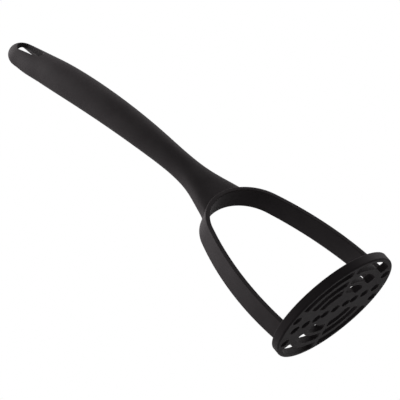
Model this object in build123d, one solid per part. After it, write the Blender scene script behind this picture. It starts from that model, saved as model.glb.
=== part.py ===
from build123d import *
import os
from math import atan2, cos, pi, radians, sin, sqrt

os.makedirs("parts", exist_ok=True)

# A potato masher of black plastic: a perforated plate in a rim, an arched strap as the yoke,
# and a hollow handle with an eye for hanging it up.
# The origin is the centre of the mashing face. +Z goes from that face to the handle,
# +X across the two arms, and the handle leans back to +Y.

# Mashing plate and rim
plate_diameter = 85.0
plate_thickness = 4.3
rim_height = 5.8
rim_wall = 1.6
rim_bottom_round = 1.0
rim_top_round = 0.5
corner_hole_angle = 18.0
band_angle = 30.0
arm_pad_depth = 3.6
arm_pad_width = 16.0

# The plate's pattern, in shares of its radius
hole_place_shares = (0.202, 0.358, 0.560, 0.765)
corner_hole_share = 0.875
hole_radius_share = 0.076
slot_radius_shares = (0.412, 0.626, 0.862)
slot_width_share = 0.145
slot_round_share = 0.042
spoke_share = 0.066

# Yoke
foot_inset = 1.0
strap_thickness = 3.0
arm_radius = 210.0
arm_upright_height = 4.5
crown_radius = 29.2
yoke_lean = 10.4
crown_fall = 4.0
strap_front = 6.7
foot_width = 15.4
belly_width = 16.2
crown_width = 14.8
belly_height = 43.7
strap_edge_round = 0.6
tongue_thickness = 1.5
tongue_width = 9.0
tongue_length = 3.8
spigot_width = 10.0
spigot_depth = 4.0
spigot_length = 16.0
spigot_round = 0.8

# Handle
handle_setback = 7.5
handle_length = 196.0
handle_bow_radius = 545.0
handle_start_lean = 9.7
grip_half_width = 10.7
grip_half_depth = 9.6
flare_drop = 9.0
grip_wall = 2.4
neck_hollow_half_width = 11.5
hollow_length = 150.0
tip_cap_length = 13.4
cap_power = 2.3
eye_from_tip = 18.0
eye_tip_margin = 8.3
eye_length = 21.3
eye_top_radius = 3.9
eye_low_radius = 3.0
eye_neck_depth = 2.1
eye_neck_lap = 0.3
eye_front_angle = 20.0
eye_back_angle = 12.0
dish_from_tip = 8.5
dish_wall = 3.6
dish_half_width = 8.8
dish_half_length = 24.6
dish_reach = 11.9
core_rib = 2.6
core_block_length = 26.6
core_end_gap = 1.0

# Fits and turns
seat_clearance = 0.1
overrun = 2.0
half_turn = 180.0

# Sections up the handle, each a run from the crown as a share of the handle's length, then its
# half width and half depth as shares of the grip's, and the power that squares it off
section_shares = (
    (0.010, 1.420, 0.650, 3.0),
    (0.050, 1.195, 0.670, 2.6),
    (0.100, 0.945, 0.715, 2.3),
    (0.176, 0.805, 0.793, 2.0),
    (0.302, 0.868, 0.860, 2.0),
    (0.443, 0.954, 0.950, 2.0),
    (0.534, 0.989, 0.988, 2.0),
    (0.630, 1.010, 1.010, 2.0),
    (0.720, 1.010, 1.003, 2.0),
    (0.771, 0.992, 0.982, 2.0),
    (0.821, 0.965, 0.927, 2.0),
    (0.866, 0.935, 0.897, 2.0),
)
flare_end_shares = (1.870, 0.660, 3.0)
cap_start_shares = (0.820, 0.938, 2.0)
cap_step_shares = (0.35, 0.6, 0.8, 0.92, 0.98)
section_corner_count = 16

plate_radius = plate_diameter / 2
seat_radius = plate_radius - rim_wall
half_span = plate_radius - foot_inset
swing_radius = arm_radius - crown_radius
arm_centre_x = half_span - arm_radius
crown_centre_height = arm_upright_height + sqrt(swing_radius**2 - arm_centre_x**2)
crown_top = crown_centre_height + crown_radius
foot_reach = foot_width * sin(radians(yoke_lean))
strap_reach = belly_width + overrun


def slot_face(radius_share):
    """One curved slot from the spoke to the band of holes, in the quarter of +X and +Y."""
    outer_share = radius_share + slot_width_share / 2
    inner_share = radius_share - slot_width_share / 2
    ring = Circle(outer_share * plate_radius) - Circle(inner_share * plate_radius)
    band = radians(band_angle)
    side = spoke_share * plate_radius / 2
    reach = plate_diameter
    wedge = Polygon(
        (side, side * sin(band) / cos(band)),
        (reach * cos(band), reach * sin(band)),
        (reach * cos(band), reach),
        (side, reach),
        align=None,
    )
    slot = ring & wedge
    return fillet(slot.vertices(), slot_round_share * plate_radius)


def slots():
    """The three curved slots of each quarter of the plate."""
    quarter = Sketch() + [slot_face(share) for share in slot_radius_shares]
    half = quarter + mirror(quarter, about=Plane.YZ)
    return half + mirror(half, about=Plane.XZ)


def hole_places():
    """The centres of the round holes: a row along X and one near each end of the outer slots."""
    row = [share * plate_radius for share in hole_place_shares]
    places = [(0, 0)] + [(side * x, 0) for x in row for side in (1, -1)]
    corner_x = corner_hole_share * plate_radius * cos(radians(corner_hole_angle))
    corner_y = corner_hole_share * plate_radius * sin(radians(corner_hole_angle))
    return places + [(i * corner_x, j * corner_y) for i in (1, -1) for j in (1, -1)]


def arm_blocks(inner_radius, outer_radius, width, bottom, top):
    """Two blocks of a ring, one under each arm."""
    height = top - bottom
    ring = Cylinder(outer_radius, height) - Cylinder(inner_radius, height)
    block = ring & Pos(-outer_radius, 0, 0) * Box(outer_radius, width, height)
    blocks = block + Rot(0, 0, half_turn) * block
    return Pos(0, 0, (bottom + top) / 2) * blocks


def mashing_plate():
    disc = extrude(Rot(0, 0, half_turn / 2) * Circle(seat_radius) - slots(), plate_thickness)
    pad_radius = seat_radius - arm_pad_depth
    disc += arm_blocks(pad_radius, seat_radius, arm_pad_width, rim_height / 2, rim_height)
    holes = Sketch() + [Pos(x, y) * Circle(hole_radius_share * plate_radius) for x, y in hole_places()]
    disc -= extrude(holes, rim_height)
    notch_radius = seat_radius - tongue_thickness - seat_clearance * 2
    notch_width = tongue_width + seat_clearance * 2
    notch_bottom = rim_height - tongue_length - seat_clearance
    return disc - arm_blocks(notch_radius, plate_radius, notch_width, notch_bottom, rim_height + overrun)


def plate_rim():
    """The band around the disc, rounded most at its lower outer edge."""
    section = Plane.XZ * Pos(seat_radius + rim_wall / 2, rim_height / 2) * Rectangle(rim_wall, rim_height)
    lower = section.vertices().group_by(Axis.Z)[0].sort_by(Axis.X)[-1]
    section = fillet(lower, rim_bottom_round)
    upper = section.vertices().group_by(Axis.Z)[-1].sort_by(Axis.X)[-1]
    return revolve(fillet(upper, rim_top_round), Axis.Z)


def arch_plane():
    """The leaning plane of the arch's front edge: x across, y up, and the normal to the front."""
    lean = radians(yoke_lean)
    return Plane(origin=(0, -strap_front, rim_height), x_dir=(1, 0, 0), z_dir=(0, -cos(lean), sin(lean)))


def back_direction():
    """The way that the strap runs from its front edge to its back edge, falling a little."""
    fall = radians(crown_fall)
    return Vector(0, cos(fall), -sin(fall))


def run_back(face):
    """The face on the arch's plane, drawn out past the strap's back and a little past its front."""
    start = face.moved(Pos(back_direction() * -overrun))
    return extrude(start, strap_reach + overrun, dir=back_direction())


def arch_face(inset):
    """The region under the arch, drawn in from the strap's outer surface by the inset."""
    foot_x = half_span - inset
    arm = arm_radius - inset
    turn = atan2(crown_centre_height - arm_upright_height, -arm_centre_x)

    def arm_point(angle):
        return (arm_centre_x + arm * cos(angle), arm_upright_height + arm * sin(angle))

    shoulder = (foot_x, arm_upright_height)
    middle, join = arm_point(turn / 2), arm_point(turn)
    side = Line((foot_x, -foot_reach), shoulder) + ThreePointArc(shoulder, middle, join)
    other_side = mirror(side, about=Plane.YZ)
    crown = ThreePointArc(join, (0, crown_top - inset), (-join[0], join[1]))
    base = Line((foot_x, -foot_reach), (-foot_x, -foot_reach))
    return make_face(Curve() + [side, crown, other_side, base])


def strap_side_face():
    """The strap seen from the side: a straight front, and a back that bows out to the belly."""
    top = crown_top + overrun
    front_foot = (0, -foot_reach)
    front_top = (0, top)
    back_foot = (foot_width, -foot_reach)
    belly = (belly_width, belly_height)
    back_top = (crown_width, top)
    outline = [
        Line(back_foot, front_foot),
        Line(front_foot, front_top),
        Line(front_top, back_top),
        ThreePointArc(back_foot, belly, back_top),
    ]
    return make_face(Curve() + outline)


def strap():
    """The strap of the yoke, its long edges rounded, before its feet are cut level."""
    front = arch_plane()
    ring = run_back(front * (arch_face(0) - arch_face(strap_thickness)))
    side = Plane(origin=front.origin, x_dir=-front.z_dir, z_dir=(1, 0, 0))
    band = ring & extrude(side * strap_side_face(), half_span + overrun, both=True)
    faces = band.faces().sort_by(Axis(front.origin, front.z_dir))
    up = Axis(front.origin, front.y_dir)
    long_edges = []
    for face in (faces[0], faces[-1]):
        for group in face.edges().group_by(up)[1:]:
            long_edges += group
    return fillet(long_edges, strap_edge_round)


def spigot(clearance):
    """The block on the crown that goes up into the handle, grown on each side by the clearance."""
    width = spigot_width + clearance * 2
    depth = spigot_depth + clearance * 2
    height = spigot_length + strap_thickness / 2 + clearance
    block = Box(width, height, depth, align=(Align.CENTER, Align.MIN, Align.CENTER))
    block = fillet(block.edges().filter_by(Axis.Y), spigot_round)
    foot = Pos(0, crown_top - strap_thickness / 2, -handle_setback)
    return arch_plane() * foot * block


def yoke():
    level = Box(plate_diameter, plate_diameter, rim_height, align=(Align.CENTER, Align.CENTER, Align.MIN))
    arch = strap() - level
    tongue_inner = seat_radius - seat_clearance - tongue_thickness
    tongue_outer = seat_radius - seat_clearance
    tongue_bottom = rim_height - tongue_length
    tongue_top = rim_height + strap_thickness / 2
    tongues = arm_blocks(tongue_inner, tongue_outer, tongue_width, tongue_bottom, tongue_top)
    return arch + tongues + spigot(0)


def section_plane(run):
    """The plane square to the handle's centre line, a run up from the crown: x across, y to the back."""
    start_lean = radians(handle_start_lean)
    lean = start_lean + run / handle_bow_radius
    start = arch_plane().from_local_coords((0, crown_top, 0)) + back_direction() * handle_setback
    y = start.Y + handle_bow_radius * (cos(start_lean) - cos(lean))
    z = start.Z + handle_bow_radius * (sin(lean) - sin(start_lean))
    return Plane(origin=(0, y, z), x_dir=(1, 0, 0), z_dir=(0, sin(lean), cos(lean)))


def section_sizes():
    """The run, half width, half depth and power of each section, from the flare to the cap's start."""
    cap_start = handle_length - tip_cap_length
    rows = [(-flare_drop, *flare_end_shares)]
    rows += [(share * handle_length, *shares) for share, *shares in section_shares]
    rows += [(cap_start, *cap_start_shares)]
    return [(run, a * grip_half_width, b * grip_half_depth, power) for run, a, b, power in rows]


def sizes_at(run):
    """The half width, half depth and power of the handle at a run between two sections."""
    rows = section_sizes()
    for low, high in zip(rows, rows[1:]):
        if run <= high[0]:
            part = (run - low[0]) / (high[0] - low[0])
            return [p + (q - p) * part for p, q in zip(low[1:], high[1:])]
    return rows[-1][1:]


def section_face(run, half_width, half_depth, power):
    """One section of the handle: an ellipse, squared off where its power is above two."""
    points = []
    for step in range(section_corner_count):
        angle = 2 * pi * step / section_corner_count
        across = abs(cos(angle)) ** (2 / power) * (1 if cos(angle) > 0 else -1)
        back = abs(sin(angle)) ** (2 / power) * (1 if sin(angle) > 0 else -1)
        points.append((half_width * across, half_depth * back))
    return section_plane(run) * make_face(Spline(*points, periodic=True))


def handle_outside():
    """The handle's outside, from the flare at the crown to the round tip."""
    rows = section_sizes()
    cap_start, half_width, half_depth, power = rows[-1]
    for share in cap_step_shares:
        size = (1 - share**cap_power) ** (1 / cap_power)
        rows.append((cap_start + share * tip_cap_length, half_width * size, half_depth * size, power))
    return loft([section_face(*row) for row in rows])


def handle_hollow(inset, end):
    """The space inside the handle, drawn in from its outside by the inset, up to its end."""
    runs = [row[0] for row in section_sizes() if row[0] < end - grip_wall] + [end]
    faces = []
    for run in runs:
        half_width, half_depth, power = sizes_at(run)
        half_width = min(half_width, neck_hollow_half_width + grip_wall) - inset
        faces.append(section_face(run, half_width, half_depth - inset, power))
    return loft(faces)


def under_crown():
    """Everything under the crown's outer surface."""
    return run_back(arch_plane() * arch_face(0))


def dish():
    """The hollow in the back of the tip, down to the wall that the eye goes through."""
    run = handle_length - dish_from_tip
    half_depth = sizes_at(run)[1]
    bowl = scale(Rot(0, half_turn / 2, 0) * Sphere(1), by=(dish_half_width, dish_reach, dish_half_length))
    return section_plane(run) * Pos(0, dish_wall + dish_reach - half_depth, 0) * bowl


def eye():
    """The long eye, widest at the tip's end, narrowest at its neck and flared to front and back."""
    run = handle_length - eye_from_tip
    across = section_plane(run)
    half_depth = sizes_at(run)[1]
    top_y = eye_from_tip - eye_tip_margin - eye_top_radius
    low_y = eye_from_tip - eye_tip_margin - eye_length + eye_low_radius
    ends = Pos(0, top_y) * Circle(eye_top_radius) + Pos(0, low_y) * Circle(eye_low_radius)
    outline = make_hull(ends.edges())
    neck = across.from_local_coords((0, eye_neck_depth - half_depth, 0))
    front_start = neck + across.y_dir * eye_neck_lap
    front = Plane(origin=front_start, x_dir=(1, 0, 0), z_dir=-across.y_dir)
    back = Plane(origin=neck, x_dir=(-1, 0, 0), z_dir=across.y_dir)
    front_cut = extrude(front * outline, eye_neck_lap + eye_neck_depth + overrun, taper=-eye_front_angle)
    back_cut = extrude(back * outline, half_depth * 2, taper=-eye_back_angle)
    return front_cut + back_cut


def handle_grip():
    body = handle_outside() - under_crown() - handle_hollow(grip_wall, hollow_length)
    return body - dish() - eye()


def handle_core():
    """Two crossed ribs that fill the hollow's width and depth, on a block with the spigot's socket."""
    end = hollow_length - core_end_gap
    inside = handle_hollow(grip_wall + seat_clearance, end)
    low = section_plane(-flare_drop)
    upward = (Align.CENTER, Align.CENTER, Align.MIN)
    block = low * Box(plate_diameter, plate_diameter, core_block_length, align=upward)
    upright = Box(core_rib, handle_length * 2, handle_length * 2 + plate_diameter)
    start = section_plane(0)
    bow_centre = start.from_local_coords((0, handle_bow_radius, 0))
    bow_plane = Plane(origin=bow_centre, x_dir=(0, 1, 0), z_dir=(1, 0, 0))
    bow_ring = Circle(handle_bow_radius + core_rib / 2) - Circle(handle_bow_radius - core_rib / 2)
    flat = extrude(bow_plane * bow_ring, plate_radius, both=True)
    bar = inside & (block + upright + flat)
    return bar - under_crown() - spigot(seat_clearance)


nodes = {
    "mashing_plate": mashing_plate(),
    "plate_rim": plate_rim(),
    "yoke": yoke(),
    "handle_core": handle_core(),
    "handle_grip": handle_grip(),
}

for name, solid in nodes.items():
    export_step(solid, f"parts/{name}.step")
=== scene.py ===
import bpy
from mathutils import Matrix, Vector

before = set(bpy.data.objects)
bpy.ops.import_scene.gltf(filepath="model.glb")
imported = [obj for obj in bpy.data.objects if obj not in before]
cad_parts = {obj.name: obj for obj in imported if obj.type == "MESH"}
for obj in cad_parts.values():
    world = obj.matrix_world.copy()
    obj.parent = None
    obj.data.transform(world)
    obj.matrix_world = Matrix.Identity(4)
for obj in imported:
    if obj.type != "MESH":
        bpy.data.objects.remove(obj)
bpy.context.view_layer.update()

scene = bpy.context.scene
scene.view_settings.view_transform = "Standard"

# Lengths are in metres, in the CAD frame: +Z goes from the mashing face towards the handle
WHITE = (1.0, 1.0, 1.0, 1.0)

# Camera, fitted to the photograph's outline of the plate's rim, the yoke and the handle
CAMERA_PLACE = Vector((-1.01805, -1.33860, -0.47976))
CAMERA_RIGHT = Vector((0.74191, -0.28846, -0.60529))
CAMERA_DOWN = Vector((-0.36441, 0.58430, -0.72512))
CAMERA_LENS = 270.0
SENSOR_WIDTH = 36.0
CLIP_START = 0.05
CLIP_END = 20.0

# Lamps, each with its name, place and power in watts
LAMPS = (
    ("lamp_above", (-0.18, 0.26, 1.04), 12.0),
    ("lamp_left", (-0.51, 0.54, 0.73), 2.5),
    ("lamp_right", (0.89, -0.16, 0.41), 4.8),
)
LAMP_TARGET = Vector((0.0, 0.03, 0.13))
LAMP_SIDE = 0.6

# World: the strength that lights the object, and the one that the camera and reflections see
STUDIO_STRENGTH = 0.165
BACKGROUND_STRENGTH = 1.0

# Floor: its half side, its height just under the mashing face, and where the paper turns white
FLOOR_HALF = 3.0
FLOOR_HEIGHT = -0.0004
PAPER_COLOUR = (0.54, 0.54, 0.54, 1.0)
FADE_START = 0.10
FADE_END = 0.45

# Nylon: what its three shades share, with scales per metre
NYLON_IOR = 1.5
NYLON_SPECULAR = 0.015
NYLON_ROUGHNESS = 0.55
ROUGHNESS_SPREAD = 0.05
CLOUD_SCALE = 45.0
CLOUD_DETAIL = 6.0
CLOUD_ROUGHNESS = 0.6
CLOUD_LOW = 0.3
CLOUD_HIGH = 0.7
GRAIN_DETAIL = 3.0
GRAIN_STRENGTH = 0.5
OPAQUE = 1.0

# Nylon: what they don't share, which is the darkest and lightest colour and the size and height of
# the grain
GRIP_SHADES = ((0.042, 0.037, 0.039), (0.059, 0.053, 0.055))
PLATE_SHADES = ((0.034, 0.030, 0.032), (0.046, 0.041, 0.043))
CORE_SHADES = ((0.030, 0.030, 0.030), (0.040, 0.040, 0.040))
GRIP_GRAIN = (0.0006, 0.00004)
PLATE_GRAIN = (0.0006, 0.00003)
CORE_GRAIN = (0.0008, 0.00004)


def add_camera():
    right = CAMERA_RIGHT.normalized()
    up = (-CAMERA_DOWN).normalized()
    back = right.cross(up).normalized()
    up = back.cross(right)
    data = bpy.data.cameras.new("camera")
    data.sensor_fit = "HORIZONTAL"
    data.sensor_width = SENSOR_WIDTH
    data.lens = CAMERA_LENS
    data.clip_start = CLIP_START
    data.clip_end = CLIP_END
    camera = bpy.data.objects.new("camera", data)
    axes = Matrix((right, up, back)).transposed().to_4x4()
    camera.matrix_world = Matrix.Translation(CAMERA_PLACE) @ axes
    scene.collection.objects.link(camera)
    scene.camera = camera


def add_lamp(name, place, power):
    data = bpy.data.lights.new(name, "AREA")
    data.shape = "SQUARE"
    data.size = LAMP_SIDE
    data.energy = power
    lamp = bpy.data.objects.new(name, data)
    lamp.location = place
    lamp.rotation_euler = (LAMP_TARGET - Vector(place)).to_track_quat("-Z", "Y").to_euler()
    scene.collection.objects.link(lamp)


def add_world():
    """A soft studio light, which shows as white to the camera and in reflections."""
    world = bpy.data.worlds.new("studio")
    scene.world = world
    world.use_nodes = True
    nodes, links = world.node_tree.nodes, world.node_tree.links
    nodes.clear()
    path = nodes.new("ShaderNodeLightPath")
    seen = nodes.new("ShaderNodeMath")
    seen.operation = "ADD"
    seen_all = nodes.new("ShaderNodeMath")
    seen_all.operation = "ADD"
    seen_all.use_clamp = True
    studio = nodes.new("ShaderNodeBackground")
    studio.inputs["Color"].default_value = WHITE
    studio.inputs["Strength"].default_value = STUDIO_STRENGTH
    background = nodes.new("ShaderNodeBackground")
    background.inputs["Color"].default_value = WHITE
    background.inputs["Strength"].default_value = BACKGROUND_STRENGTH
    mix = nodes.new("ShaderNodeMixShader")
    out = nodes.new("ShaderNodeOutputWorld")
    links.new(path.outputs["Is Camera Ray"], seen.inputs[0])
    links.new(path.outputs["Is Glossy Ray"], seen.inputs[1])
    links.new(seen.outputs[0], seen_all.inputs[0])
    links.new(path.outputs["Is Transmission Ray"], seen_all.inputs[1])
    links.new(seen_all.outputs[0], mix.inputs["Fac"])
    links.new(studio.outputs[0], mix.inputs[1])
    links.new(background.outputs[0], mix.inputs[2])
    links.new(mix.outputs[0], out.inputs["Surface"])


def floor_paper():
    """Pale paper that turns white away from the object, and is clear when seen from below."""
    material = bpy.data.materials.new("floor_paper")
    material.use_nodes = True
    nodes, links = material.node_tree.nodes, material.node_tree.links
    nodes.clear()
    paper = nodes.new("ShaderNodeBsdfDiffuse")
    paper.inputs["Color"].default_value = PAPER_COLOUR
    white = nodes.new("ShaderNodeEmission")
    white.inputs["Color"].default_value = WHITE
    white.inputs["Strength"].default_value = BACKGROUND_STRENGTH
    place = nodes.new("ShaderNodeTexCoord")
    distance = nodes.new("ShaderNodeVectorMath")
    distance.operation = "LENGTH"
    fade = nodes.new("ShaderNodeMapRange")
    fade.interpolation_type = "SMOOTHSTEP"
    fade.inputs["From Min"].default_value = FADE_START
    fade.inputs["From Max"].default_value = FADE_END
    upper = nodes.new("ShaderNodeMixShader")
    links.new(place.outputs["Object"], distance.inputs[0])
    links.new(distance.outputs["Value"], fade.inputs["Value"])
    links.new(fade.outputs["Result"], upper.inputs["Fac"])
    links.new(paper.outputs[0], upper.inputs[1])
    links.new(white.outputs[0], upper.inputs[2])

    side = nodes.new("ShaderNodeNewGeometry")
    clear = nodes.new("ShaderNodeBsdfTransparent")
    mix = nodes.new("ShaderNodeMixShader")
    out = nodes.new("ShaderNodeOutputMaterial")
    links.new(side.outputs["Backfacing"], mix.inputs["Fac"])
    links.new(upper.outputs[0], mix.inputs[1])
    links.new(clear.outputs[0], mix.inputs[2])
    links.new(mix.outputs[0], out.inputs["Surface"])
    return material


def add_floor():
    """The floor, which catches the object's shadow and sends no light back to it."""
    signs = ((-1, -1), (1, -1), (1, 1), (-1, 1))
    corners = [(x * FLOOR_HALF, y * FLOOR_HALF, FLOOR_HEIGHT) for x, y in signs]
    mesh = bpy.data.meshes.new("floor")
    mesh.from_pydata(corners, [], [(0, 1, 2, 3)])
    mesh.materials.append(floor_paper())
    floor = bpy.data.objects.new("floor", mesh)
    scene.collection.objects.link(floor)
    floor.visible_shadow = False
    floor.visible_diffuse = False
    floor.visible_glossy = False


def nylon(name, shade_pair, grain_pair):
    """Matt black moulded nylon: a fine grain, with faint cloudy changes of shade and of gloss."""
    dark, light = shade_pair
    grain_size, grain_height = grain_pair
    material = bpy.data.materials.new(name)
    material.use_nodes = True
    nodes, links = material.node_tree.nodes, material.node_tree.links
    shader = nodes["Principled BSDF"]
    shader.inputs["IOR"].default_value = NYLON_IOR
    shader.inputs["Specular IOR Level"].default_value = NYLON_SPECULAR
    place = nodes.new("ShaderNodeTexCoord")

    clouds = nodes.new("ShaderNodeTexNoise")
    clouds.inputs["Scale"].default_value = CLOUD_SCALE
    clouds.inputs["Detail"].default_value = CLOUD_DETAIL
    clouds.inputs["Roughness"].default_value = CLOUD_ROUGHNESS
    shades = nodes.new("ShaderNodeValToRGB")
    low, high = shades.color_ramp.elements
    low.position = CLOUD_LOW
    low.color = (*dark, OPAQUE)
    high.position = CLOUD_HIGH
    high.color = (*light, OPAQUE)
    links.new(place.outputs["Object"], clouds.inputs["Vector"])
    links.new(clouds.outputs["Fac"], shades.inputs["Fac"])
    links.new(shades.outputs["Color"], shader.inputs["Base Color"])

    gloss = nodes.new("ShaderNodeMapRange")
    gloss.inputs["From Min"].default_value = CLOUD_LOW
    gloss.inputs["From Max"].default_value = CLOUD_HIGH
    gloss.inputs["To Min"].default_value = NYLON_ROUGHNESS - ROUGHNESS_SPREAD
    gloss.inputs["To Max"].default_value = NYLON_ROUGHNESS + ROUGHNESS_SPREAD
    links.new(clouds.outputs["Fac"], gloss.inputs["Value"])
    links.new(gloss.outputs["Result"], shader.inputs["Roughness"])

    grain = nodes.new("ShaderNodeTexNoise")
    grain.inputs["Scale"].default_value = 1 / grain_size
    grain.inputs["Detail"].default_value = GRAIN_DETAIL
    bump = nodes.new("ShaderNodeBump")
    bump.inputs["Strength"].default_value = GRAIN_STRENGTH
    bump.inputs["Distance"].default_value = grain_height
    links.new(place.outputs["Object"], grain.inputs["Vector"])
    links.new(grain.outputs["Fac"], bump.inputs["Height"])
    links.new(bump.outputs["Normal"], shader.inputs["Normal"])
    return material


def dress(node, material):
    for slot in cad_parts[node].material_slots:
        slot.material = material


grip_nylon = nylon("grip_nylon", GRIP_SHADES, GRIP_GRAIN)
plate_nylon = nylon("plate_nylon", PLATE_SHADES, PLATE_GRAIN)
core_nylon = nylon("core_nylon", CORE_SHADES, CORE_GRAIN)

dress("handle_grip", grip_nylon)
dress("yoke", grip_nylon)
dress("mashing_plate", plate_nylon)
dress("plate_rim", plate_nylon)
dress("handle_core", core_nylon)

add_camera()
for lamp_row in LAMPS:
    add_lamp(*lamp_row)
add_world()
add_floor()
